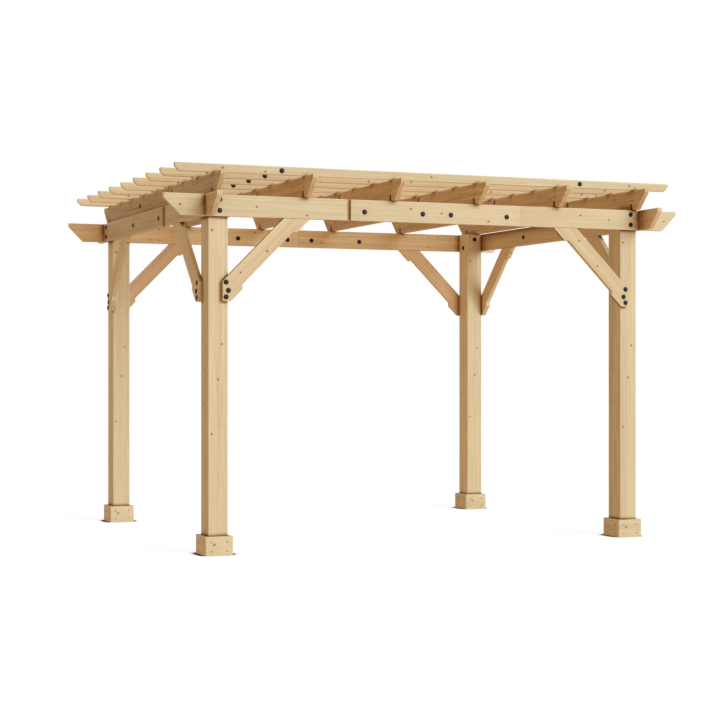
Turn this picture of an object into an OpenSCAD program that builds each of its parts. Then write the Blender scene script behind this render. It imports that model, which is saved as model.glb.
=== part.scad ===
// Free-standing timber pergola: four posts, bolted beams, knee braces, rafters and purlins.
// Millimetres, +X along the front, +Y to the back, +Z up, origin on the ground at the middle.

/* [Posts] */
// Width of a post along the front
post_w = 125; // [100:1:150]
// Depth of a post from front to back
post_d = 156; // [120:1:180]
// Distance between post centres along the front
bay_w = 2916; // [2400:1:3600]
// Distance between post centres from front to back
bay_d = 2350; // [1900:1:2800]
// Height of the posts, flush with the tops of the beams
frame_h = 2216; // [2000:1:2600]
// Cut-off on the long edges of a post
post_ease = 4; // [1:0.5:8]

/* [Base skirts] */
// Height of the boards round a post's foot
skirt_h = 118; // [80:1:180]
// Thickness of the boards round a post's foot
skirt_t = 26; // [15:0.5:35]
// Cut-off on their top and corner edges
skirt_ease = 5; // [2:0.5:10]

/* [Beams] */
// Height of a beam or rafter board
beam_h = 134; // [110:1:160]
// Thickness of a beam or rafter board
beam_t = 32; // [25:0.5:45]
// Upright nose left above the slanted end cut
beam_nose = 26; // [15:1:50]
// Cut-off on the long edges of beams and rafters
beam_ease = 3; // [1:0.5:5]
// How far the long beams run past the post centres
long_overhang = 356; // [250:1:420]
// How far the side beams run past the post centres
side_overhang = 350; // [260:1:420]
// Length of the middle board on a long beam
middle_len = 1210; // [900:1:1600]
// Middle of that board from the middle of the beam
middle_shift = 15; // [-60:1:60]
// Open slot at one end of the middle board
middle_slot = 25; // [5:1:40]
// Start of the lap on a side beam, from the middle towards the front
side_lap_front = 326; // [200:1:450]
// End of the lap on a side beam, from the middle towards the back
side_lap_back = 480; // [200:1:600]
// Open slot on the outer face at the start of that lap
side_slot = 90; // [20:1:160]

/* [Rafters] */
// How far the rafters run past the post centres
rafter_overhang = 269; // [220:1:340]
// Outer face of the posts to the middle of the end rafters
rafter_inset = 34; // [20:1:60]
// Start of the lap on a rafter, from the middle towards the front
rafter_lap_front = 370; // [200:1:450]
// End of the lap on a rafter, from the middle towards the back
rafter_lap_back = 480; // [200:1:600]
// Open slot on the left face at the start of that lap
rafter_slot = 40; // [5:1:80]
// Width of the screw pocket over a beam
pocket_w = 20; // [12:1:30]
// Height of the screw pocket
pocket_h = 43; // [25:1:60]
// Depth of the screw pocket
pocket_depth = 14; // [8:0.5:20]

/* [Purlins] */
// How far the purlins run past the post centres
purlin_overhang = 287; // [200:1:400]
// Height of a purlin
purlin_h = 52; // [40:1:70]
// Thickness of a purlin
purlin_t = 30; // [20:0.5:45]
// Upright nose left above the slanted end cut of a purlin
purlin_nose = 23; // [15:1:35]
// Cut-off on the long edges of a purlin
purlin_ease = 2.5; // [1:0.5:5]
// Tip of a rafter to the middle of the end purlins
purlin_inset = 164; // [120:1:220]

/* [Knee braces] */
// Reach of a brace under the beam, from the post's inner face
brace_reach = 530; // [450:1:650]
// Drop of a brace below the beam
brace_drop = 520; // [440:1:640]
// Length of its seat under the beam
brace_seat = 175; // [150:1:220]
// Lap of a brace over the post's face
brace_lap = 41; // [25:1:60]
// Length of the thick head at each end
brace_head = 85; // [70:1:110]
// Step from the thick head to the slimmer middle
brace_step = 30; // [10:1:45]
// Diameter of the screw hole up through the upper head
brace_hole_d = 16; // [8:0.5:20]
// Middle of that screw hole to the tip of the brace
brace_hole_inset = 48; // [35:1:60]
// Wood left over that screw hole
brace_hole_roof = 24; // [15:1:35]

/* [Hidden] */
// Room left between boards that lap, so that they slide together
fit_gap = 0.3;
// Reach of a cutting shape past the wood that it cuts
cut_past = 5;

post_top_side = bay_w / 2 + post_w / 2;
post_top_front = bay_d / 2 + post_d / 2;
beam_z = frame_h - beam_h;
long_half = bay_w / 2 + long_overhang;
middle_from = middle_shift - middle_len / 2;
middle_to = middle_shift + middle_len / 2;
side_half = bay_d / 2 + side_overhang;
rafter_half = bay_d / 2 + rafter_overhang;
purlin_half = bay_w / 2 + purlin_overhang;
purlin_z = frame_h + beam_h;
end_rafter = post_top_side - rafter_inset;
end_purlin = rafter_half - purlin_inset;

post_colour = [0.86, 0.76, 0.58];
skirt_colour = [0.84, 0.73, 0.55];
beam_colour = [0.87, 0.78, 0.61];
side_colour = [0.83, 0.72, 0.54];
brace_colour = [0.85, 0.74, 0.56];
rafter_colour = [0.81, 0.69, 0.50];
purlin_colour = [0.88, 0.80, 0.63];

post_names = ["post_front_left", "post_front_right", "post_back_left", "post_back_right"];
skirt_names = ["skirt_front_left", "skirt_front_right", "skirt_back_left", "skirt_back_right"];
face_brace_names = ["brace_front_left", "brace_front_right", "brace_back_left", "brace_back_right"];
side_brace_names = ["brace_left_front", "brace_right_front", "brace_left_back", "brace_right_back"];
rafter_names = ["rafter_1", "rafter_2", "rafter_3", "rafter_4", "rafter_5", "rafter_6"];
purlin_names = ["purlin_1", "purlin_2", "purlin_3", "purlin_4", "purlin_5", "purlin_6",
                "purlin_7", "purlin_8", "purlin_9"];

// A rectangle about the origin with its four corners cut off
module eased_rect(w, h, ease) {
    x = w / 2;
    y = h / 2;
    polygon([[x - ease, -y], [x, -y + ease], [x, y - ease], [x - ease, y],
             [-x + ease, y], [-x, y - ease], [-x, -y + ease], [-x + ease, -y]]);
}

// A board along X, underside at zero, from its back face at zero out to its thickness,
// with both ends cut back at 45 degrees below an upright nose
module cut_end_board(half, h, t, nose, ease) {
    run = h - nose;
    intersection() {
        translate([0, t, 0]) rotate([90, 0, 0]) linear_extrude(t)
            polygon([[-half, h], [-half, h - nose], [-half + run, 0],
                     [half - run, 0], [half, h - nose], [half, h]]);
        translate([-half, t / 2, h / 2]) rotate([90, 0, 90]) linear_extrude(2 * half)
            eased_rect(t, h, ease);
    }
}

// The part of a board that lies over a plan outline
module over_plan(outline, h) {
    intersection() {
        children();
        linear_extrude(h) polygon(outline);
    }
}

// Plan of the front board of a two-board lap: full, then a tongue along the back face
function front_plan(half, from, to, slot, t) = [
    [-half, 0], [to - fit_gap, 0], [to - fit_gap, (t - fit_gap) / 2],
    [from - slot, (t - fit_gap) / 2], [from - slot, t], [-half, t]];

// Plan of the rear board of a two-board lap: a tongue along the outer face, then full
function rear_plan(half, from, to, t) = [
    [half, t], [from, t], [from, (t + fit_gap) / 2], [to, (t + fit_gap) / 2], [to, 0], [half, 0]];

// Plan of the left board of a long beam: its tongue runs to the middle behind the middle board
function left_plan(t) = [
    [-long_half, 0], [-fit_gap / 2, 0], [-fit_gap / 2, (t - fit_gap) / 2],
    [middle_from - middle_slot, (t - fit_gap) / 2], [middle_from - middle_slot, t],
    [-long_half, t]];

// Plan of the middle board of a long beam, over the two tongues
function middle_plan(t) = [
    [middle_from, (t + fit_gap) / 2], [middle_to, (t + fit_gap) / 2],
    [middle_to, t], [middle_from, t]];

// Plan of the right board of a long beam, tight against the middle board
function right_plan(t) = [
    [long_half, t], [middle_to + fit_gap, t], [middle_to + fit_gap, (t - fit_gap) / 2],
    [fit_gap / 2, (t - fit_gap) / 2], [fit_gap / 2, 0], [long_half, 0]];

// Slots half the beam's height where two beams cross at the corners, from z up
module corner_slots(post_face, z) {
    for (side = [-1, 1])
        translate([side * (post_face + beam_t / 2) - beam_t / 2 - fit_gap, -cut_past, z])
            cube([beam_t + 2 * fit_gap, beam_t + 2 * cut_past, beam_h / 2 + cut_past]);
}

// A whole long beam, slotted from above at the corners
module long_beam_blank() {
    difference() {
        cut_end_board(long_half, beam_h, beam_t, beam_nose, beam_ease);
        corner_slots(post_top_side, beam_h / 2);
    }
}

// A whole side beam, slotted from below at the corners
module side_beam_blank() {
    difference() {
        cut_end_board(side_half, beam_h, beam_t, beam_nose, beam_ease);
        corner_slots(post_top_front, -cut_past);
    }
}

// A whole rafter with a screw pocket over each long beam
module rafter_blank() {
    difference() {
        cut_end_board(rafter_half, beam_h, beam_t, beam_nose, beam_ease);
        for (side = [-1, 1])
            translate([side * (post_top_front + beam_t / 2) - pocket_w / 2, beam_t - pocket_depth, -cut_past])
                cube([pocket_w, pocket_depth + cut_past, pocket_h + cut_past]);
    }
}

// Outer face of the front posts, with the thickness of a board running forwards
module at_front() {
    translate([0, -post_top_front, beam_z]) mirror([0, 1, 0]) children();
}

// Outer face of the back posts: the front beam turned round
module at_back() {
    translate([0, post_top_front, beam_z]) mirror([1, 0, 0]) children();
}

// Outer face of the left posts, with the board's length running to the back
module at_left() {
    translate([-post_top_side, 0, beam_z]) rotate([0, 0, 90]) children();
}

// The four corners in turn: front left, front right, back left, back right
module to_corner(corner) {
    mirror([corner % 2, 0, 0]) mirror([0, floor(corner / 2), 0]) children();
}

module post(corner) {
    color(post_colour) to_corner(corner)
        translate([-bay_w / 2, -bay_d / 2, 0]) linear_extrude(frame_h)
            eased_rect(post_w, post_d, post_ease);
}

// Plan of a skirt board in front of a face at zero, with or without eased ends
function skirt_plan(side, eased) = eased
    ? [[-side, 0], [-side, skirt_ease - skirt_t], [skirt_ease - side, -skirt_t],
       [side - skirt_ease, -skirt_t], [side, skirt_ease - skirt_t], [side, 0]]
    : [[-side, 0], [-side, -skirt_t], [side, -skirt_t], [side, 0]];

// One skirt board, its outer top edge eased
module skirt_board(w, eased) {
    intersection() {
        translate([-w / 2, 0, 0]) rotate([90, 0, 90]) linear_extrude(w)
            polygon([[0, 0], [-skirt_t, 0], [-skirt_t, skirt_h - skirt_ease],
                     [skirt_ease - skirt_t, skirt_h], [0, skirt_h]]);
        linear_extrude(skirt_h) polygon(skirt_plan(w / 2, eased));
    }
}

// Four boards round a post's foot: front and back ones cover the ends of the side ones
module skirt(corner) {
    color(skirt_colour) to_corner(corner) translate([-bay_w / 2, -bay_d / 2, 0])
        for (turn = [0, 180]) {
            rotate([0, 0, turn]) translate([0, -post_d / 2, 0])
                skirt_board(post_w + 2 * skirt_t, true);
            rotate([0, 0, turn + 90]) translate([0, -post_w / 2, 0])
                skirt_board(post_d - 2 * fit_gap, false);
        }
}

// Knee brace from the corner of post and beam, running along X, outer face at its thickness
module knee_brace() {
    middle = brace_reach - brace_step;
    seat_start = brace_reach - brace_seat;
    hole_x = brace_reach - brace_hole_inset;
    difference() {
        translate([0, beam_t, 0]) rotate([90, 0, 0]) linear_extrude(beam_t)
            polygon([[-brace_lap, -brace_drop], [brace_reach - brace_drop, -brace_drop],
                     [brace_head, brace_head - brace_reach], [brace_head, brace_head - middle],
                     [middle - brace_head, -brace_head], [brace_reach - brace_head, -brace_head],
                     [brace_reach, 0], [seat_start, 0], [-brace_lap, -brace_lap - seat_start]]);
        translate([hole_x, beam_t / 2, -brace_head])
            cylinder(d = brace_hole_d, h = brace_head - brace_hole_roof, $fn = 48);
    }
}

// Brace in the face of the pergola, under a long beam
module face_brace(corner) {
    color(brace_colour) to_corner(corner)
        translate([-bay_w / 2 + post_w / 2, -post_top_front, beam_z]) mirror([0, 1, 0]) knee_brace();
}

// Brace in the side of the pergola, under a side beam
module side_brace(corner) {
    color(brace_colour) to_corner(corner)
        translate([-post_top_side, -bay_d / 2 + post_d / 2, beam_z]) rotate([0, 0, 90]) knee_brace();
}

module front_beam_left() {
    color(beam_colour) at_front() over_plan(left_plan(beam_t), beam_h) long_beam_blank();
}

module front_beam_middle() {
    color(beam_colour) at_front() over_plan(middle_plan(beam_t), beam_h) long_beam_blank();
}

module front_beam_right() {
    color(beam_colour) at_front() over_plan(right_plan(beam_t), beam_h) long_beam_blank();
}

module back_beam_left() {
    color(beam_colour) at_back() over_plan(right_plan(beam_t), beam_h) long_beam_blank();
}

module back_beam_middle() {
    color(beam_colour) at_back() over_plan(middle_plan(beam_t), beam_h) long_beam_blank();
}

module back_beam_right() {
    color(beam_colour) at_back() over_plan(left_plan(beam_t), beam_h) long_beam_blank();
}

module left_beam_front() {
    color(side_colour) at_left()
        over_plan(front_plan(side_half, -side_lap_front, side_lap_back, side_slot, beam_t), beam_h)
            side_beam_blank();
}

module left_beam_rear() {
    color(side_colour) at_left()
        over_plan(rear_plan(side_half, -side_lap_front, side_lap_back, beam_t), beam_h)
            side_beam_blank();
}

module right_beam_front() {
    mirror([1, 0, 0]) left_beam_front();
}

module right_beam_rear() {
    mirror([1, 0, 0]) left_beam_rear();
}

// Two boards lapped by half their thickness, one rafter
module rafter(i) {
    pitch = 2 * end_rafter / (len(rafter_names) - 1);
    color(rafter_colour) translate([-end_rafter + i * pitch + beam_t / 2, 0, frame_h])
        rotate([0, 0, 90]) {
            over_plan(front_plan(rafter_half, -rafter_lap_front, rafter_lap_back, rafter_slot, beam_t),
                      beam_h) rafter_blank();
            over_plan(rear_plan(rafter_half, -rafter_lap_front, rafter_lap_back, beam_t),
                      beam_h) rafter_blank();
        }
}

module purlin(i) {
    pitch = 2 * end_purlin / (len(purlin_names) - 1);
    color(purlin_colour) translate([0, -end_purlin + i * pitch - purlin_t / 2, purlin_z])
        cut_end_board(purlin_half, purlin_h, purlin_t, purlin_nose, purlin_ease);
}

for (i = [0 : 3]) {
    post(i);
    skirt(i);
    face_brace(i);
    side_brace(i);
}
front_beam_left();
front_beam_middle();
front_beam_right();
back_beam_left();
back_beam_middle();
back_beam_right();
left_beam_front();
left_beam_rear();
right_beam_front();
right_beam_rear();
for (i = [0 : len(rafter_names) - 1])
    rafter(i);
for (i = [0 : len(purlin_names) - 1])
    purlin(i);
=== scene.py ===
import bpy
import itertools
import math
import random
from mathutils import Matrix, Vector


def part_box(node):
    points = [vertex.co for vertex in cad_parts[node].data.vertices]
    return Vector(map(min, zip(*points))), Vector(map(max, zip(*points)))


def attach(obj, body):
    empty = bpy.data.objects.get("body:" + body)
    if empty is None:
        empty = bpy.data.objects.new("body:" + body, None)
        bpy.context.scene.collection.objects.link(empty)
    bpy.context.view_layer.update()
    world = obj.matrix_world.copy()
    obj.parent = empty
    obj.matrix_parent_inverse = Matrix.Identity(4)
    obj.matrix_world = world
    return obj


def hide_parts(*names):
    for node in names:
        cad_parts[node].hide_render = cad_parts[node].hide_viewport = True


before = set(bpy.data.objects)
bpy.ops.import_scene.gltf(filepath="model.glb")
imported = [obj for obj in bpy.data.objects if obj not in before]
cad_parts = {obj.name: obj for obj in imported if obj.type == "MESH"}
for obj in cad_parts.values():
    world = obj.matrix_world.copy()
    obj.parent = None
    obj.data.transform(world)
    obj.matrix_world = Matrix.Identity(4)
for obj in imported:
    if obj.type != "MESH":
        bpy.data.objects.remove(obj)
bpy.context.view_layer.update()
print("frame loaded:", len(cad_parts), "nodes")


# small helpers

def selectOnly(*pieces):
    bpy.ops.object.select_all(action="DESELECT")
    for piece in pieces:
        piece.select_set(True)
    bpy.context.view_layer.objects.active = pieces[0]


def editMode(on):
    bpy.ops.object.mode_set(mode="EDIT" if on else "OBJECT")


def pick(piece, kind, test):
    # leaves the piece in edit mode with only the faces or points that pass the test selected
    selectOnly(piece)
    editMode(True)
    bpy.ops.mesh.select_mode(type=kind)
    bpy.ops.mesh.select_all(action="DESELECT")
    editMode(False)
    for part in piece.data.polygons if kind == "FACE" else piece.data.vertices:
        part.select = test(part)
    editMode(True)


def addModifier(piece, kind, **settings):
    selectOnly(piece)
    modifier = piece.modifiers.new(kind.lower(), kind)
    for name, value in settings.items():
        setattr(modifier, name, value)
    bpy.ops.object.modifier_apply(modifier=modifier.name)


def linear(red, green, blue):
    # screen colour 0 to 255 into the numbers that a shader takes
    return tuple((c / 255 / 12.92) if c < 11 else ((c / 255 + 0.055) / 1.055) ** 2.4
                 for c in (red, green, blue)) + (1.0,)


# shader sums

class Wire:
    def __init__(self, tree, socket=None):
        self.tree = tree
        self.socket = socket

    def node(self, kind, settings, values, output=0):
        made = self.tree.nodes.new(kind)
        for name, value in settings.items():
            setattr(made, name, value)
        for name, value in values.items():
            if isinstance(value, Wire):
                self.tree.links.new(value.socket, made.inputs[name])
            else:
                made.inputs[name].default_value = value
        return Wire(self.tree, made.outputs[output] if made.outputs else None)

    def twin(self, output):
        # another output of the same node
        return Wire(self.tree, self.socket.node.outputs[output])

    def into(self, shader, name):
        self.tree.links.new(self.socket, shader.inputs[name])

    def sum(self, operation, first, second=0.0):
        return self.node("ShaderNodeMath", {"operation": operation}, {0: first, 1: second})

    def __add__(self, other):
        return self.sum("ADD", self, other)

    def __radd__(self, other):
        return self.sum("ADD", other, self)

    def __sub__(self, other):
        return self.sum("SUBTRACT", self, other)

    def __rsub__(self, other):
        return self.sum("SUBTRACT", other, self)

    def __mul__(self, other):
        return self.sum("MULTIPLY", self, other)

    def __rmul__(self, other):
        return self.sum("MULTIPLY", other, self)

    def __truediv__(self, other):
        return self.sum("DIVIDE", self, other)

    def __rtruediv__(self, other):
        return self.sum("DIVIDE", other, self)

    def __pow__(self, other):
        return self.sum("POWER", self, other)

    def __rpow__(self, other):
        return self.sum("POWER", other, self)

    def __abs__(self):
        return self.sum("ABSOLUTE", self)

    def most(self, other):
        return self.sum("MAXIMUM", self, other)

    def least(self, other):
        return self.sum("MINIMUM", self, other)

    def step(self, low, high):
        return self.node("ShaderNodeMapRange", {"interpolation_type": "SMOOTHSTEP"},
                         {0: self, 1: low, 2: high, 3: 0.0, 4: 1.0})

    def parts(self):
        first = self.node("ShaderNodeSeparateXYZ", {}, {0: self})
        return [first.twin(i) for i in range(3)]

    def point(self, x, y, z):
        return self.node("ShaderNodeCombineXYZ", {}, {0: x, 1: y, 2: z})

    def vector(self, operation, other=(0, 0, 0), output="Vector"):
        return self.node("ShaderNodeVectorMath", {"operation": operation}, {0: self, 1: other}, output)

    def mix(self, first, second, share, blend="MIX"):
        return self.node("ShaderNodeMix", {"data_type": "RGBA", "blend_type": blend},
                         {0: share, 6: first, 7: second}, 2)

    def mixTo(self, other, share):
        return self.mix(self, other, share)

    def timesTo(self, other, share):
        return self.mix(self, other, share, "MULTIPLY")

    def noise(self, at, detail, rough=0.5, scale=1.0):
        return self.node("ShaderNodeTexNoise", {},
                         {"Vector": at, "Scale": scale, "Detail": detail, "Roughness": rough})


def startMaterial(name):
    material = bpy.data.materials.new(name)
    material.use_nodes = True
    return material, Wire(material.node_tree)


# camera, light and floor

stageSetup = {
    "cameraPlace": (-4.653, -11.254, 1.2005), "cameraTurn": -22.477, "cameraLens": 85.15, "sensor": 36,
    "keyTurn": 25, "keyHeight": 16, "keySpread": 38, "keyStrength": 2.42, "keyColour": (0.675, 0.845, 1.0),
    "skyColour": (0.95, 0.755, 0.54, 1), "skyStrength": 0.55, "backdrop": (1, 1, 1, 1),
    "floorSize": 160, "floorSeen": (0.30, 0.30, 0.30, 1), "floorGlow": (0.83, 0.845, 0.87, 1),
    "floorBounce": (0.85, 0.69, 0.53, 1), "contactColour": (0, 0, 0, 1),
    "contactReach": 0.08, "contactLean": (-0.02, -0.45, 0.89), "contactRise": (0.71, 0.865),
}


def lookedAt(wire):
    # full where the camera, a shiny surface or glass sees it, none for the light that it sends on
    seen = wire.node("ShaderNodeLightPath", {}, {}, "Is Camera Ray")
    return seen.most(seen.twin("Is Glossy Ray")).most(seen.twin("Is Transmission Ray"))


def makeCamera():
    view = bpy.data.cameras.new("photoView")
    view.sensor_width = stageSetup["sensor"]
    view.lens = stageSetup["cameraLens"]
    camera = bpy.data.objects.new("photoView", view)
    camera.location = stageSetup["cameraPlace"]
    camera.rotation_euler = (math.radians(90), 0, math.radians(stageSetup["cameraTurn"]))
    bpy.context.scene.collection.objects.link(camera)
    bpy.context.scene.camera = camera


def makeKey():
    turn = math.radians(stageSetup["keyTurn"])
    height = math.radians(stageSetup["keyHeight"])
    toKey = Vector((math.sin(turn) * math.cos(height), -math.cos(turn) * math.cos(height), math.sin(height)))
    key = bpy.data.lights.new("softKey", "SUN")
    key.energy = stageSetup["keyStrength"]
    key.angle = math.radians(stageSetup["keySpread"])
    key.color = stageSetup["keyColour"]
    lamp = bpy.data.objects.new("softKey", key)
    lamp.rotation_euler = toKey.to_track_quat("Z", "Y").to_euler()
    bpy.context.scene.collection.objects.link(lamp)


def makeSky():
    world = bpy.data.worlds.new("studioSky")
    bpy.context.scene.world = world
    world.use_nodes = True
    world.node_tree.nodes.clear()
    wire = Wire(world.node_tree)
    sky = wire.node("ShaderNodeBackground", {}, {0: stageSetup["skyColour"], 1: stageSetup["skyStrength"]})
    white = wire.node("ShaderNodeBackground", {}, {0: stageSetup["backdrop"], 1: 1.0})
    both = wire.node("ShaderNodeMixShader", {}, {0: lookedAt(wire), 1: sky, 2: white})
    wire.node("ShaderNodeOutputWorld", {}, {0: both})


def makeFloor():
    bpy.ops.object.select_all(action="DESELECT")
    bpy.ops.mesh.primitive_plane_add(size=stageSetup["floorSize"], location=(0, 0, 0))
    floor = bpy.context.object
    floor.name = "studioFloor"
    paint, wire = startMaterial("palePaint")
    paint.node_tree.nodes.clear()
    # painted contact shadow: a tight dark line where a foot meets the floor, least on the side that faces the
    # key
    contact = wire.node("ShaderNodeAmbientOcclusion", {"samples": 16}, {
        "Distance": stageSetup["contactReach"], "Normal": wire.point(*stageSetup["contactLean"])}, "AO")
    plain = wire.node("ShaderNodeBsdfDiffuse", {}, {0: stageSetup["floorSeen"]})
    glow = wire.node("ShaderNodeEmission", {}, {0: stageSetup["floorGlow"]})
    pale = wire.node("ShaderNodeAddShader", {}, {0: plain, 1: glow})
    dark = wire.node("ShaderNodeEmission", {}, {0: stageSetup["contactColour"]})
    bare = contact.step(*stageSetup["contactRise"])
    shown = wire.node("ShaderNodeMixShader", {}, {0: bare, 1: dark, 2: pale})
    bounce = wire.node("ShaderNodeBsdfDiffuse", {}, {0: stageSetup["floorBounce"]})
    both = wire.node("ShaderNodeMixShader", {}, {0: lookedAt(wire), 1: bounce, 2: shown})
    wire.node("ShaderNodeOutputMaterial", {}, {0: both})
    floor.data.materials.append(paint)


makeCamera()
makeKey()
makeSky()
makeFloor()
bpy.context.scene.view_settings.view_transform = "Standard"
print("stage ready")


# pine for every board

pineLook = {
    "early": linear(226, 207, 168), "late": linear(210, 183, 138),
    "pink": linear(219, 191, 156), "straw": linear(223, 203, 158),
    "knot": linear(122, 82, 45), "knotRim": linear(96, 60, 30), "halo": linear(196, 158, 106),
    # the worn colour is edge wear and a painted highlight along the eased edges
    "fleck": linear(170, 126, 78), "wornAndHighlit": linear(250, 234, 200), "endGrain": linear(240, 222, 182),
    # painted shade: warm tints boards that sit in shade (partly the wood's own warmth), shade darkens
    # corners, and joint paints shade along seams besides darkening worn sawn ends
    "warmthAndShade": (1.0, 0.82, 0.68, 1), "shade": (0.50, 0.32, 0.18, 1), "jointDirtAndShade": linear(84, 46, 16),
    "grainTint": (0.75, 0.95, 1.3),
    # how strongly each of these shows
    "share": {
        "late": 0.4, "lateEnd": 0.4, "pink": 0.45, "straw": 0.3, "pin": 0.45, "streak": 0.45, "line": 0.38,
        "fibre": 0.08, "cloud": 0.07, "fleck": 0.35, "dash": 0.4, "endGrain": 0.3, "halo": 0.45,
        "knot": 0.9, "knotRim": 0.7, "jointDirtAndShade": 0.55, "lessShadeOnEnds": 0.7, "narrowCool": 2,
    },
    # noise drawn out along a board: repeats a metre along and across, detail, roughness, shifts along, aside
    "pattern": {
        "ripple": (2.2, 16, 2.0, 0.5, 0, 0),
        "streak": (0.42, 30, 5.0, 0.68, 0, 0),
        "line": (3.4, 105, 2.0, 0.5, 0, 0),
        "pin": (1.4, 230, 1.0, 0.5, 0, 0),
        "dash": (17, 130, 1.0, 0.5, 0, 0),
        "warmth": (0.35, 26, 2.0, 0.5, 31, 0),
        "cloud": (1.6, 5, 2.0, 0.5, 0, 9),
        "fibre": (12, 620, 2.0, 0.5, 0, 0),
        "fleck": (46, 380, 1.0, 0.5, 0, 0),
        "rubbed": (9, 40, 2.0, 0.5, 0, 0),
    },
    # where a mask begins and where it is full
    "rise": {
        "endGrain": (0.45, 0.68), "thinnedOut": (0.18, 0.3), "knot": (0.66, 1.05), "knotRim": (0.45, 0.75),
        "halo": (0.9, 2.4), "strongYear": (0.3, 0.7), "lateWood": (0.25, 0.9), "yearEnd": (0.9, 1.0),
        "pin": (0.58, 0.74), "dash": (0.7, 0.78), "warmth": (0.38, 0.66), "fleck": (0.68, 0.78),
        "broadFace": (0.0004, 0.002), "sawnEnd": (0.001, 0.004), "wornAndHighlit": (0.003, 0.009),
        "offFloor": (0.02, 0.06), "shade": (0.5, 1.0), "jointDirtAndShade": (0.3, 0.75),
    },
    "knotRadius": {"A": 0.0058, "B": 0.0051, "C": 0.0055, "D": 0.0050, "E": 0.0053, "F": 0.0053},
    "knotOval": (0.85, 1.0, 1.0), "knotWobble": 0.5, "wobbleScale": 210.0,
    "pinKnotSmall": 0.0034, "pinKnotSpread": 0.003, "pinKnotStretch": 0.8, "tiniest": 0.00001,
    "ringsPerMetre": 185, "yearsPerMetre": 42, "strongLate": 0.6, "faintLate": 0.4,
    "pithWander": 0.03, "wanderPerMetre": 0.7, "wanderLanes": (0.0, 7.0), "ripple": 0.005, "knotSwell": 0.003,
    "wanderSeeds": 40, "yearSeeds": 90,
    "rubbedDepth": 0.006, "seamReach": 0.018,
    "roughness": 0.56, "roughFibre": 0.14, "roughEnd": 0.1, "smoothLate": 0.06, "smoothKnot": 0.12,
    "raisedFibre": 0.35, "raisedLate": 0.4, "raisedKnot": 0.5, "sunkFleck": 0.3,
    "bump": 0.3, "bumpDepth": 0.0008, "shine": 0.06,
}


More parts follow.
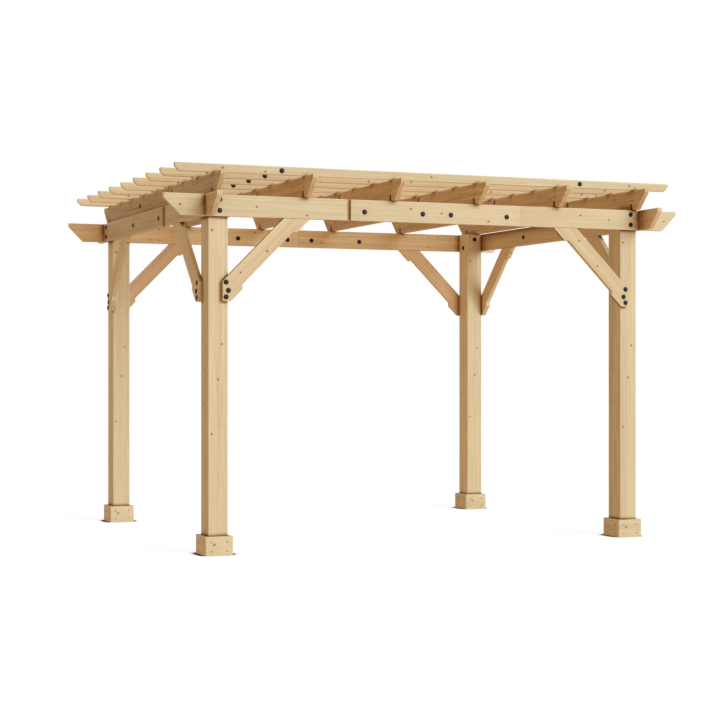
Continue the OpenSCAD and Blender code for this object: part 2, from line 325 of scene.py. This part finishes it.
def makePine():
    look = pineLook
    share = look["share"]
    rise = look["rise"]
    material, wire = startMaterial("knottyPine")
    shader = material.node_tree.nodes["Principled BSDF"]

    def fromBoard(name):
        return wire.node("ShaderNodeAttribute", {"attribute_name": name}, {}, "Vector")

    place = fromBoard("boardAt")
    along, wide, thick = place.parts()
    halfWide, halfThick, jointReach = fromBoard("boardHalf").parts()
    toneAndShading, warmthAndShade, wearAndEdgeLight = fromBoard("boardTintAndShade").parts()
    pithWide, pithThick, seed = fromBoard("boardPith").parts()
    knotsPerMetre, girthScale, figure = fromBoard("boardKnots").parts()
    lowEnd, highEnd, narrowFaceShading = fromBoard("boardEnds").parts()
    facing = wire.node("ShaderNodeNewGeometry", {}, {}, "True Normal")
    facing = facing.vector("DOT_PRODUCT", fromBoard("boardAlong"), "Value")
    endGrain = abs(facing).step(*rise["endGrain"])

    def pattern(name):
        repeats, across, detail, rough, ahead, aside = look["pattern"][name]
        at = wire.point(along * repeats + ahead, wide * across, thick * across + aside)
        return wire.noise(at, detail, rough)

    # pin knots: small branch stubs scattered through the log, sliced where the board was cut
    spot = wire.point(along * look["pinKnotStretch"], wide, thick)
    cells = wire.node("ShaderNodeTexVoronoi", {},
                      {"Vector": spot, "Scale": knotsPerMetre, "Randomness": 1.0}, "Distance")
    chance, girth = cells.twin("Color").parts()[:2]
    girth = (girth * look["pinKnotSpread"] + look["pinKnotSmall"]) * chance.step(*rise["thinnedOut"])
    near = cells / knotsPerMetre / (girth * girthScale + look["tiniest"])
    # and the knots that have a place of their own on a board
    for label, radius in look["knotRadius"].items():
        away = place.vector("SUBTRACT", fromBoard("knot" + label)).vector("MULTIPLY", look["knotOval"])
        near = near.least(away.vector("LENGTH", output="Value") / radius)
    near = near + (wire.noise(spot, 2.0, scale=look["wobbleScale"]) - 0.5) * look["knotWobble"]
    knot = 1 - near.step(*rise["knot"])
    rim = near.step(*rise["knotRim"]) * knot
    halo = 1 - near.step(*rise["halo"])

    # year rings round the pith, which wanders along the log
    def wander(lane):
        at = wire.point(along * look["wanderPerMetre"], seed * look["wanderSeeds"], lane)
        return (wire.noise(at, 2.0) - 0.5) * look["pithWander"]

    wideLane, thickLane = look["wanderLanes"]
    offWide = wide - pithWide + wander(wideLane)
    offThick = thick - pithThick + wander(thickLane)
    radius = (offWide * offWide + offThick * offThick) ** 0.5
    radius = radius + (pattern("ripple") - 0.5) * look["ripple"] + halo * look["knotSwell"]
    year = wire.sum("FRACT", radius * look["ringsPerMetre"])
    years = wire.point(radius * look["yearsPerMetre"], seed * look["yearSeeds"], 0.0)
    strong = wire.noise(years, 1.0).step(*rise["strongYear"])
    late = year.step(*rise["lateWood"]) - year.step(*rise["yearEnd"])
    late = late * (strong * look["strongLate"] + look["faintLate"])

    # colour that runs in streaks, then fibres and resin flecks
    streak = pattern("streak") - 0.5
    line = pattern("line") - 0.5
    cloud = pattern("cloud") - 0.5
    fibre = pattern("fibre")
    pin = pattern("pin").step(*rise["pin"])
    dash = pattern("dash").step(*rise["dash"])
    warmth = pattern("warmth").step(*rise["warmth"])
    fleck = pattern("fleck").step(*rise["fleck"])

    # eased edges, rubbed a little lighter and painted lighter still as a highlight along them
    toEdge = halfWide - abs(wide)
    toFace = halfThick - abs(thick)
    inFace = toEdge.most(toFace) * (1 - endGrain) + toEdge.least(toFace) * endGrain
    narrowFace = 1 - toEdge.step(*rise["broadFace"])
    sawn = 1 - (along - lowEnd).least(highEnd - along).step(*rise["sawnEnd"])
    rubbed = (pattern("rubbed") - 0.5) * look["rubbedDepth"]
    wornAndHighlit = (1 - (inFace + rubbed).step(*rise["wornAndHighlit"])) * wearAndEdgeLight

    # painted shade: corners within each board's reach of other parts are darkened warm, and a dark line runs
    # close along seams, but not down where the feet meet the floor
    corner = wire.node("ShaderNodeAmbientOcclusion", {"samples": 8}, {"Distance": jointReach}, "AO")
    seam = wire.node("ShaderNodeAmbientOcclusion", {"samples": 8}, {"Distance": look["seamReach"]}, "AO")
    offFloor = wire.node("ShaderNodeTexCoord", {}, {}, "Object").parts()[2].step(*rise["offFloor"])
    clear = 1 - (1 - corner) * offFloor
    shade = (1 - clear.step(*rise["shade"])) * (1 - endGrain * share["lessShadeOnEnds"])
    jointDirtAndShade = (1 - seam.step(*rise["jointDirtAndShade"])) * offFloor

    colour = wire.mix(look["early"], look["late"], late * (share["late"] + endGrain * share["lateEnd"]))
    colour = colour.mixTo(look["pink"], warmth * share["pink"])
    colour = colour.mixTo(look["straw"], (1 - warmth) * share["straw"])
    colour = colour.mixTo(look["late"], pin * share["pin"])
    grain = (streak * share["streak"] + line * share["line"]) * figure * (1 + narrowFace)
    grain = grain + (fibre - 0.5) * share["fibre"]
    # tone paints each board lighter or darker by the light it gets in place, and narrow faces get painted
    # shade or painted light
    shift = 1 + cloud * share["cloud"] + toneAndShading + narrowFace * narrowFaceShading
    colour = colour.vector("MULTIPLY", wire.point(*(shift + grain * tint for tint in look["grainTint"])))
    colour = colour.mixTo(look["fleck"], (fleck * share["fleck"]).most(dash * share["dash"]))
    colour = colour.mixTo(look["endGrain"], endGrain * share["endGrain"])
    # edge wear and painted highlight
    colour = colour.mixTo(look["wornAndHighlit"], wornAndHighlit)
    colour = colour.mixTo(look["halo"], halo * share["halo"])
    colour = colour.mixTo(look["knot"], knot * share["knot"])
    colour = colour.mixTo(look["knotRim"], rim * share["knotRim"])
    # warmer where the boards sit in shade: painted shade as well as the wood's own warmth
    colour = colour.timesTo(look["warmthAndShade"], warmthAndShade - narrowFace * narrowFaceShading * share["narrowCool"])
    # painted shade in the corners
    colour = colour.timesTo(look["shade"], shade)
    # painted shade along the seams, and darker worn sawn ends
    colour = colour.mixTo(look["jointDirtAndShade"], jointDirtAndShade.most(sawn * wearAndEdgeLight * (1 - endGrain)) * share["jointDirtAndShade"])
    colour.into(shader, "Base Color")

    rough = look["roughness"] + (fibre - 0.5) * look["roughFibre"] + endGrain * look["roughEnd"]
    rough = rough - late * look["smoothLate"] - knot * look["smoothKnot"]
    rough.into(shader, "Roughness")
    relief = fibre * look["raisedFibre"] + late * look["raisedLate"] + knot * look["raisedKnot"]
    relief = relief - fleck * look["sunkFleck"]
    bump = wire.node("ShaderNodeBump", {},
                     {"Strength": look["bump"], "Distance": look["bumpDepth"], "Height": relief})
    bump.into(shader, "Normal")
    shader.inputs["Specular IOR Level"].default_value = look["shine"]
    return material


pine = makePine()
print("pine mixed")


# where the boards stand, as the frame has them: knots and fixings are set out from here

def readFraming():
    postLow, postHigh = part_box("post_back_right")
    skirtLow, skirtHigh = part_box("skirt_back_right")
    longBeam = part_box("back_beam_left")[1]
    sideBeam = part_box("right_beam_front")[1]
    rafters = [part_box(name) for name in sorted(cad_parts) if name.startswith("rafter")]
    purlins = [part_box(name) for name in sorted(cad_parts) if name.startswith("purlin")]
    return {
        "postX": (postLow.x + postHigh.x) / 2, "postY": (postLow.y + postHigh.y) / 2,
        "innerX": postLow.x, "innerY": postLow.y,  # faces of the posts that look inwards
        "outerX": postHigh.x, "outerY": postHigh.y,  # faces of the posts that carry the beams
        "faceX": sideBeam.x, "faceY": longBeam.y, "beamTop": longBeam.z,
        "skirtX": (skirtHigh.x - skirtLow.x) / 2, "skirtY": (skirtHigh.y - skirtLow.y) / 2,
        "rafterX": [(low.x + high.x) / 2 for low, high in rafters],
        "rafterHalf": (rafters[0][1].x - rafters[0][0].x) / 2,
        "purlinY": [(low.y + high.y) / 2 for low, high in purlins],
        "purlinHalf": (purlins[0][1].y - purlins[0][0].y) / 2,
    }


framing = readFraming()


# boards

boardCut = {
    "roundEdge": 0.001, "edgeSteps": 2, "edgeAngle": 30, "smoothAngle": 25,
    "mergeWithin": 0.00002, "flatAngle": 1, "knotReach": 0.002,
    "grainSeed": 11, "logStart": (3, 40), "pithAcross": 0.7, "pithDepth": (0.01, 0.07), "toneSpread": 0.008,
}
# which way the grain runs and which way is the wide face, for every kind of board
boardGrain = {
    "post_": ((0, 0, 1), (1, 0, 0)),
    "front_beam": ((1, 0, 0), (0, 0, 1)), "back_beam": ((1, 0, 0), (0, 0, 1)),
    "left_beam": ((0, 1, 0), (0, 0, 1)), "right_beam": ((0, 1, 0), (0, 0, 1)),
    "rafter": ((0, 1, 0), (0, 0, 1)), "purlin": ((1, 0, 0), (0, 0, 1)),
    "brace_front_left": ((1, 0, 1), (-1, 0, 1)), "brace_back_left": ((1, 0, 1), (-1, 0, 1)),
    "brace_front_right": ((-1, 0, 1), (1, 0, 1)), "brace_back_right": ((-1, 0, 1), (1, 0, 1)),
    "brace_left_front": ((0, 1, 1), (0, -1, 1)), "brace_right_front": ((0, 1, 1), (0, -1, 1)),
    "brace_left_back": ((0, -1, 1), (0, 1, 1)), "brace_right_back": ((0, -1, 1), (0, 1, 1)),
}
# for every kind of board, the first name that fits: pin knots per metre of log, their girth, strength of the
# figure, reach of the soft joint shade, tone, warmth, wear of the edges, tone of the narrow faces; tone and
# warmth partly paint light and shade, making each kind lighter, darker or warmer by how much light reaches
# it, and the narrow-face tone is painted shade or painted light on those faces
boardKinds = {
    "rafter_1": (13.0, 1.15, 1.9, 0.05, -0.22, 0.62, 0.3, 0.0),
    "rafter_6": (13.0, 1.15, 1.9, 0.05, -0.18, 0.85, 0.3, 0.0),
    "rafter": (13.0, 1.15, 1.9, 0.05, -0.11, 0.9, 0.3, 0.0),
    "purlin_1": (11.0, 0.9, 1.0, 0.03, -0.03, 0.1, 0.3, 0.0),
    "purlin": (11.0, 0.9, 1.1, 0.025, 0.11, 0.35, 0.3, 0.0),
    "front_beam_left": (7.0, 0.75, 0.9, 0.04, -0.04, 0.05, 0.3, 0.0),
    "front_beam_right": (7.0, 0.75, 0.7, 0.04, 0.02, 0.0, 0.3, 0.0),
    "front_beam": (7.0, 0.75, 0.8, 0.04, 0.0, 0.0, 0.3, 0.0),
    "back_beam": (11.0, 1.0, 1.6, 0.05, 0.16, 0.5, 0.0, 0.0),
    "left_beam": (11.0, 1.0, 1.5, 0.06, -0.14, 0.33, 0.3, 0.0),
    "right_beam": (11.0, 1.0, 1.6, 0.30, 0.03, 0.4, 0.3, 0.0),
    "post_back_right": (7.0, 0.75, 1.0, 0.025, 0.02, 0.12, 0.55, 0.12),
    "post": (7.0, 0.75, 1.0, 0.025, 0.0, 0.1, 0.55, 0.0),
    "brace_back_right": (7.0, 0.75, 1.2, 0.04, 0.13, 0.66, 0.3, 0.0),
    "brace_back": (7.0, 0.75, 1.2, 0.04, 0.02, 0.7, 0.3, 0.0),
    "brace_right_back": (7.0, 0.75, 1.2, 0.04, 0.07, 0.4, 0.3, 0.0),
    "brace_front": (7.0, 0.75, 0.7, 0.04, 0.0, 0.2, 0.3, -0.45),
    "brace": (7.0, 0.75, 0.7, 0.04, 0.0, 0.2, 0.3, 0.0),
    "skirt": (6.0, 0.7, 1.0, 0.03, 0.02, 0.0, 0.2, 0.0),
}
# dark knots with a place of their own: across from the middle of a post, or along a board, and up
knotPlan = {
    "postFront": ((-0.040, 1.998), (0.024, 1.299), (0.000, 1.081), (-0.042, 0.745)),
    "postSide": ((0.007, 1.144), (0.027, 0.926)),
    "skirtFront": (-0.033, 0.068), "skirtSide": (0.037, 0.068),
    "longBeam": ((-1.711, 2.147), (-1.219, 2.146), (-0.885, 2.104), (-0.175, 2.170), (0.042, 2.148),
                 (0.380, 2.106), (1.069, 2.169), (1.287, 2.146), (1.720, 2.146)),
    "longBeamBack": ((-0.360, 2.189), (-0.024, 2.149), (0.193, 2.125)),
    "longBrace": ((-1.151, 1.875), (-1.323, 1.740), (1.057, 1.999), (1.199, 1.832)),
    "purlinX": (-1.443, -0.034, 1.439), "purlinZ": 2.378,
    "rafterSide": ((-1.280, 2.282), (-1.062, 2.306)),
    "farAway": (-50.0, 0.0, 0.0),
}


def knotPlaces():
    plan = knotPlan
    at = framing
    halfX = at["postX"] - at["innerX"]
    halfY = at["postY"] - at["innerY"]
    frontAcross, frontUp = plan["skirtFront"]
    sideAcross, sideUp = plan["skirtSide"]
    places = []
    for side in (-1, 1):
        for x in (-at["postX"], at["postX"]):
            y = side * at["postY"]
            places += [(x + across, y - halfY, z) for across, z in plan["postFront"]]
            places += [(x - halfX, y + across, z) for across, z in plan["postSide"]]
            places.append((x + frontAcross, y - at["skirtY"], frontUp))
            places.append((x - at["skirtX"], y + sideAcross, sideUp))
            places.append((x - frontAcross, y + at["skirtY"], frontUp))
            places.append((x + at["skirtX"], y - sideAcross, sideUp))
        places += [(x * -side, side * at["faceY"], z) for x, z in plan["longBeam"]]
        places += [(x * side, side * at["outerY"], z) for x, z in plan["longBeamBack"]]
        places += [(x * -side, side * at["faceY"], z) for x, z in plan["longBrace"]]
    for x in at["rafterX"]:
        places += [(x - at["rafterHalf"], y, z) for y, z in plan["rafterSide"]]
        places += [(x + at["rafterHalf"], -y, z) for y, z in plan["rafterSide"]]
    for y in at["purlinY"]:
        places += [(x, y - at["purlinHalf"], plan["purlinZ"]) for x in plan["purlinX"]]
    return [Vector(place) for place in places]


def grainOf(name, board):
    if name.startswith("skirt"):
        size = board.dimensions
        return ((1, 0, 0), (0, 0, 1)) if size.x > size.y else ((0, 1, 0), (0, 0, 1))
    return next(axes for start, axes in boardGrain.items() if name.startswith(start))


def layGrain(board, name, chance, knots):
    # writes the board's own grain axes, log, knots, tone and painted shading on its points, for the pine to
    # read
    cut = boardCut
    mesh = board.data
    along, across = (Vector(axis).normalized() for axis in grainOf(name, board))
    axes = (along, across, along.cross(across))
    places = [[vert.co.dot(axis) for axis in axes] for vert in mesh.vertices]
    low = [min(place[i] for place in places) for i in range(3)]
    high = [max(place[i] for place in places) for i in range(3)]
    half = [(high[i] - low[i]) / 2 for i in range(3)]
    shift = (chance.uniform(*cut["logStart"]) - low[0], -low[1] - half[1], -low[2] - half[2])
    side = chance.choice((-1, 1))
    pithWide = chance.uniform(-cut["pithAcross"], cut["pithAcross"]) * half[1]
    pithThick = side * (half[2] + chance.uniform(*cut["pithDepth"]))
    seed = chance.random()
    kind = next(value for start, value in boardKinds.items() if name.startswith(start))
    pins, girth, figure, reach, toneAndShading, warmthAndShade, wearAndEdgeLight, narrowFaceShading = kind
    toneAndShading += chance.uniform(-cut["toneSpread"], cut["toneSpread"])
    steady = {
        "boardHalf": (half[1], half[2], reach), "boardPith": (pithWide, pithThick, seed),
        "boardAlong": tuple(along), "boardKnots": (pins, girth, figure), "boardTintAndShade": (toneAndShading, warmthAndShade, wearAndEdgeLight),
        "boardEnds": (low[0] + shift[0], high[0] + shift[0], narrowFaceShading),
    }
    own = []
    for knot in knots:
        place = [knot.dot(axis) for axis in axes]
        if all(low[i] - cut["knotReach"] < place[i] < high[i] + cut["knotReach"] for i in range(3)):
            own.append([place[i] + shift[i] for i in range(3)])
    for label in pineLook["knotRadius"]:
        steady["knot" + label] = own.pop(0) if own else knotPlan["farAway"]
    at = mesh.attributes.new("boardAt", "FLOAT_VECTOR", "POINT")
    for entry, place in zip(at.data, places):
        entry.vector = [place[i] + shift[i] for i in range(3)]
    for label, value in steady.items():
        layer = mesh.attributes.new(label, "FLOAT_VECTOR", "POINT")
        for entry in layer.data:
            entry.vector = value


def makeBoards():
    cut = boardCut
    chance = random.Random(cut["grainSeed"])
    knots = knotPlaces()
    for name in sorted(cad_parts):
        piece = bpy.data.objects.new("pine_" + name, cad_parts[name].data.copy())
        bpy.context.scene.collection.objects.link(piece)
        piece.data.materials.clear()
        selectOnly(piece)
        editMode(True)
        bpy.ops.mesh.select_all(action="SELECT")
        bpy.ops.mesh.remove_doubles(threshold=cut["mergeWithin"])
        bpy.ops.mesh.dissolve_limited(angle_limit=math.radians(cut["flatAngle"]))
        bpy.ops.mesh.separate(type="LOOSE")
        editMode(False)
        boards = [piece] + [other for other in bpy.context.selected_objects if other != piece]
        for board in boards:
            addModifier(board, "BEVEL", width=cut["roundEdge"], segments=cut["edgeSteps"],
                        limit_method="ANGLE", angle_limit=math.radians(cut["edgeAngle"]))
            layGrain(board, name, chance, knots)
        selectOnly(*boards)
        if len(boards) > 1:
            bpy.ops.object.join()
        bpy.ops.object.shade_smooth_by_angle(angle=math.radians(cut["smoothAngle"]))
        piece.data.materials.append(pine)
        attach(piece, "root")
        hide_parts(name)


makeBoards()
print("boards cut and grained")


# finishes of the bolts and screws

steelLook = {
    "base": (0.003, 0.003, 0.003, 1), "blotch": (0.012, 0.012, 0.012, 1), "roughness": 0.4, "shine": 0.22,
}
bronzeLook = {
    "base": (0.20, 0.115, 0.048, 1), "blotch": (0.28, 0.17, 0.078, 1), "roughness": 0.6, "shine": 0.06,
}
coalLook = {
    "base": (0.002, 0.002, 0.002, 1), "blotch": (0.006, 0.005, 0.005, 1), "roughness": 0.6, "shine": 0.04,
}
metalSkin = {
    "blotchScale": 260.0, "blotchRise": (0.4, 0.75), "roughSpread": 0.2,
    "gritScale": 2400.0, "gritBump": 0.2, "gritDepth": 0.0003,
}


def makeMetal(name, look):
    skin = metalSkin
    material, wire = startMaterial(name)
    shader = material.node_tree.nodes["Principled BSDF"]
    place = wire.node("ShaderNodeTexCoord", {}, {}, "Object")
    blotch = wire.noise(place, 3.0, scale=skin["blotchScale"])
    grit = wire.noise(place, 2.0, scale=skin["gritScale"])
    wire.mix(look["base"], look["blotch"], blotch.step(*skin["blotchRise"])).into(shader, "Base Color")
    (look["roughness"] + (blotch - 0.5) * skin["roughSpread"]).into(shader, "Roughness")
    bump = wire.node("ShaderNodeBump", {},
                     {"Strength": skin["gritBump"], "Distance": skin["gritDepth"], "Height": grit})
    bump.into(shader, "Normal")
    shader.inputs["Specular IOR Level"].default_value = look["shine"]
    return material


steel = makeMetal("blackenedSteel", steelLook)
bronze = makeMetal("bronzedScrew", bronzeLook)
coal = makeMetal("dullBlackLag", coalLook)
print("metals mixed")


# bolts, nuts and screws, each standing on the plane z = 0

def turnedBlank(sides, radius, low, high):
    bpy.ops.object.select_all(action="DESELECT")
    bpy.ops.mesh.primitive_cylinder_add(vertices=sides, radius=radius, depth=high - low,
                                        location=(0, 0, (high + low) / 2))
    bpy.ops.object.transform_apply(location=True, rotation=True, scale=True)
    return bpy.context.object


def isTop(face):
    return face.normal.z > 0.9


def insetRings(rings):
    for inward, up in rings:
        bpy.ops.mesh.inset(thickness=inward, depth=up)


boltShape = {
    "radius": 0.0154, "sides": 18, "rim": 0.0022,
    "dome": ((0.0016, 0.0022), (0.0024, 0.0018), (0.0030, 0.0011)),
    "socket": 0.0042, "socketFlat": 0.88, "socketTaper": 0.0004, "socketDepth": 0.0035,
}


def makeBoltHead():
    # dome head with a hex socket
    shape = boltShape
    head = turnedBlank(shape["sides"], shape["radius"], 0, shape["rim"])
    pick(head, "FACE", isTop)
    insetRings(shape["dome"])
    flat = shape["radius"] - sum(inward for inward, up in shape["dome"])
    bpy.ops.mesh.inset(thickness=flat - shape["socket"], depth=0)
    editMode(False)
    ring = shape["socket"] * 1.05
    top = max(vert.co.z for vert in head.data.vertices) - 0.0001

    def betweenCorners(vert):
        # every third point of the ring stays out as a corner of the hexagon
        if vert.co.z < top or vert.co.xy.length > ring:
            return False
        angle = math.degrees(math.atan2(vert.co.y, vert.co.x)) % 60
        return 5 < angle < 55

    pick(head, "VERT", betweenCorners)
    bpy.ops.transform.resize(value=(shape["socketFlat"], shape["socketFlat"], 1))
    editMode(False)
    pick(head, "FACE", lambda face: face.center.xy.length < 0.001 and face.center.z > top)
    bpy.ops.mesh.inset(thickness=shape["socketTaper"], depth=-shape["socketDepth"])
    editMode(False)
    return head


nutShape = {
    # sides, radius, bottom, top and eased edge of the washer, the nut and the bolt's end
    "rings": ((18, 0.0165, 0, 0.0020, 0.0004), (6, 0.0112, 0.0020, 0.0072, 0.0009),
              (12, 0.0050, 0.0072, 0.0105, 0.0008)),
    "edgeDrop": 0.6,
}


def makeNut():
    rings = []
    for sides, radius, low, high, edge in nutShape["rings"]:
        ring = turnedBlank(sides, radius, low, high)
        top = high - 0.00001
        rim = radius - edge / 2
        pick(ring, "FACE", isTop)
        bpy.ops.mesh.inset(thickness=edge, depth=0)
        editMode(False)
        pick(ring, "VERT", lambda vert: vert.co.z > top and vert.co.xy.length > rim)
        bpy.ops.transform.translate(value=(0, 0, -edge * nutShape["edgeDrop"]))
        editMode(False)
        rings.append(ring)
    selectOnly(*rings)
    bpy.ops.object.join()
    return rings[0]


screwShape = {
    "radius": 0.0040, "sides": 12, "rim": 0.0006,
    "crown": ((0.0012, 0.0006), (0.0016, 0.0002)), "recess": (0.0003, -0.0012),
}


def makeScrewHead():
    # low pan head with a small recess
    shape = screwShape
    head = turnedBlank(shape["sides"], shape["radius"], 0, shape["rim"])
    pick(head, "FACE", isTop)
    insetRings((*shape["crown"], shape["recess"]))
    editMode(False)
    return head


lagShape = {
    "sides": 12, "shank": 0.0048, "shankHigh": 0.026, "head": 0.0066, "lip": 0.0004, "headHigh": 0.0115,
    "crown": ((0.0014, 0.0008), (0.0022, 0)), "recess": (0.0003, -0.003),
}


def makeLag():
    # pan-head lag screw that stands out of the beam inside a rafter's pocket
    shape = lagShape
    lag = turnedBlank(shape["sides"], shape["shank"], 0, shape["shankHigh"])
    pick(lag, "FACE", isTop)
    bpy.ops.mesh.extrude_region_move(TRANSFORM_OT_translate={"value": (0, 0, shape["lip"])})
    wider = shape["head"] / shape["shank"]
    bpy.ops.transform.resize(value=(wider, wider, 1))
    bpy.ops.mesh.extrude_region_move(TRANSFORM_OT_translate={"value": (0, 0, shape["headHigh"])})
    insetRings((*shape["crown"], shape["recess"]))
    editMode(False)
    return lag


# fixings in their places

def turnedTo(point, out):
    return Matrix.Translation(Vector(point)) @ Vector(out).to_track_quat("Z", "Y").to_matrix().to_4x4()


def spread(name, master, spots, finish):
    # one copy at every spot, all joined into one piece
    copies = []
    for point, out in spots:
        copy = bpy.data.objects.new(name, master.data.copy())
        bpy.context.scene.collection.objects.link(copy)
        copy.data.transform(turnedTo(point, out))
        copies.append(copy)
    selectOnly(*copies)
    bpy.ops.object.join()
    piece = copies[0]
    piece.name = name
    bpy.ops.object.shade_smooth_by_angle(angle=math.radians(fixings["smoothAngle"]))
    piece.data.materials.clear()
    piece.data.materials.append(finish)
    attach(piece, "root")


# heights end in Z, and brace bolts and screws are measured from the post's inner face
fixings = {
    "postBoltZ": (2.117, 2.186), "throughFrontZ": 2.174, "throughSideZ": 2.108,
    "longSplice": (-0.497, -0.091, 0.109, 0.515), "longSpliceZ": 2.139,
    "sideSplice": {-1: (-0.25, 0.405), 1: (-0.25, 0.378)}, "sideSpliceZ": 2.145,
    "rafterSplice": (-0.262, 0.408), "rafterZ": 2.283,
    "purlinX": (-1.058, 1.058), "purlinZ": 2.376,
    "braceBolts": ((0.022, 1.679), (0.007, 1.628), (0.022, 1.588)),
    "braceScrew": 0.482, "braceScrewZ": 2.058,
    "endScrewX": (1.124, 1.196, 1.364), "endScrewZ": (2.109, 2.191),
    "skirtScrewX": 0.0502, "skirtScrewY": 0.059, "skirtScrewZ": (0.027, 0.086),
    "lagAside": 0.0106, "lagY": 1.266, "smoothAngle": 38,
}


def makeFixings():
    fix = fixings
    at = framing
    head = makeBoltHead()
    nut = makeNut()
    screw = makeScrewHead()
    lag = makeLag()
    sides = (-1, 1)
    corners = list(itertools.product(sides, sides))

    # a spot and the way it faces, on a board along X or along Y, turned inwards for a nut
    def onLong(x, side, z, depth, turn=1):
        return (x, side * depth, z), (0, side * turn, 0)

    def onSide(side, y, z, depth, turn=1):
        return (side * depth, y, z), (side * turn, 0, 0)

    spots = [onLong(x * at["postX"], y, z, at["faceY"]) for y, x in corners for z in fix["postBoltZ"]]
    spots += [onLong(x, y, fix["longSpliceZ"], at["faceY"]) for y in sides for x in fix["longSplice"]]
    spread("longBeamBolts", head, spots, steel)
    spots = [onLong(x * at["postX"], y, fix["throughFrontZ"], at["innerY"], -1) for y, x in corners]
    spots += [onLong(x, y, fix["longSpliceZ"], at["outerY"], -1) for y in sides for x in fix["longSplice"]]
    spread("longBeamNuts", nut, spots, steel)

    spots = [onSide(x, y * at["postY"], z, at["faceX"]) for x, y in corners for z in fix["postBoltZ"]]
    spots += [onSide(x, y, fix["sideSpliceZ"], at["faceX"]) for x in sides for y in fix["sideSplice"][x]]
    spread("sideBeamBolts", head, spots, steel)
    spots = [onSide(x, y * at["postY"], fix["throughSideZ"], at["innerX"], -1) for x, y in corners]
    spots += [onSide(x, y, fix["sideSpliceZ"], at["outerX"], -1) for x in sides for y in fix["sideSplice"][x]]
    spread("sideBeamNuts", nut, spots, steel)

    for name, master, side in (("rafterBolts", head, -1), ("rafterNuts", nut, 1)):
        spots = [((x + side * at["rafterHalf"], y, fix["rafterZ"]), (side, 0, 0))
                 for x in at["rafterX"] for y in fix["rafterSplice"]]
        spread(name, master, spots, steel)
    for name, master, side in (("purlinBolts", head, -1), ("purlinNuts", nut, 1)):
        spots = [((x, y + side * at["purlinHalf"], fix["purlinZ"]), (0, side, 0))
                 for y in at["purlinY"] for x in fix["purlinX"]]
        spread(name, master, spots, steel)

    spots = [onLong(x * (at["innerX"] + past), y, z, at["faceY"])
             for x, y in corners for past, z in fix["braceBolts"]]
    spots += [onSide(x, y * (at["innerY"] + past), z, at["faceX"])
              for x, y in corners for past, z in fix["braceBolts"]]
    spread("braceBolts", head, spots, steel)

    spots = [((x - fix["lagAside"], y * fix["lagY"], at["beamTop"]), (0, 0, 1))
             for x in at["rafterX"] for y in sides]
    spread("rafterLagScrews", lag, spots, coal)

    # up into each brace's hole, in the middle of the board
    midX = (at["outerX"] + at["faceX"]) / 2
    midY = (at["outerY"] + at["faceY"]) / 2
    spots = [((x * (at["innerX"] - fix["braceScrew"]), y * midY, fix["braceScrewZ"]), (0, 0, -1))
             for x, y in corners]
    spots += [((x * midX, y * (at["innerY"] - fix["braceScrew"]), fix["braceScrewZ"]), (0, 0, -1))
              for x, y in corners]
    spread("braceScrews", screw, spots, steel)

    spots = [onLong(x * across, y, z, at["outerY"], -1)
             for x, y in corners for across in fix["endScrewX"] for z in fix["endScrewZ"]]
    spread("beamEndScrews", screw, spots, coal)

    spots = []
    for x, y, z, across, out in itertools.product(sides, sides, fix["skirtScrewZ"], sides, sides):
        postX = x * at["postX"]
        postY = y * at["postY"]
        spots.append(((postX + across * fix["skirtScrewX"], postY + out * at["skirtY"], z), (0, out, 0)))
        spots.append(((postX + out * at["skirtX"], postY + across * fix["skirtScrewY"], z), (out, 0, 0)))
    spread("skirtScrews", screw, spots, bronze)

    for master in (head, nut, screw, lag):
        bpy.data.objects.remove(master)


makeFixings()
print("bolts, nuts and screws set")
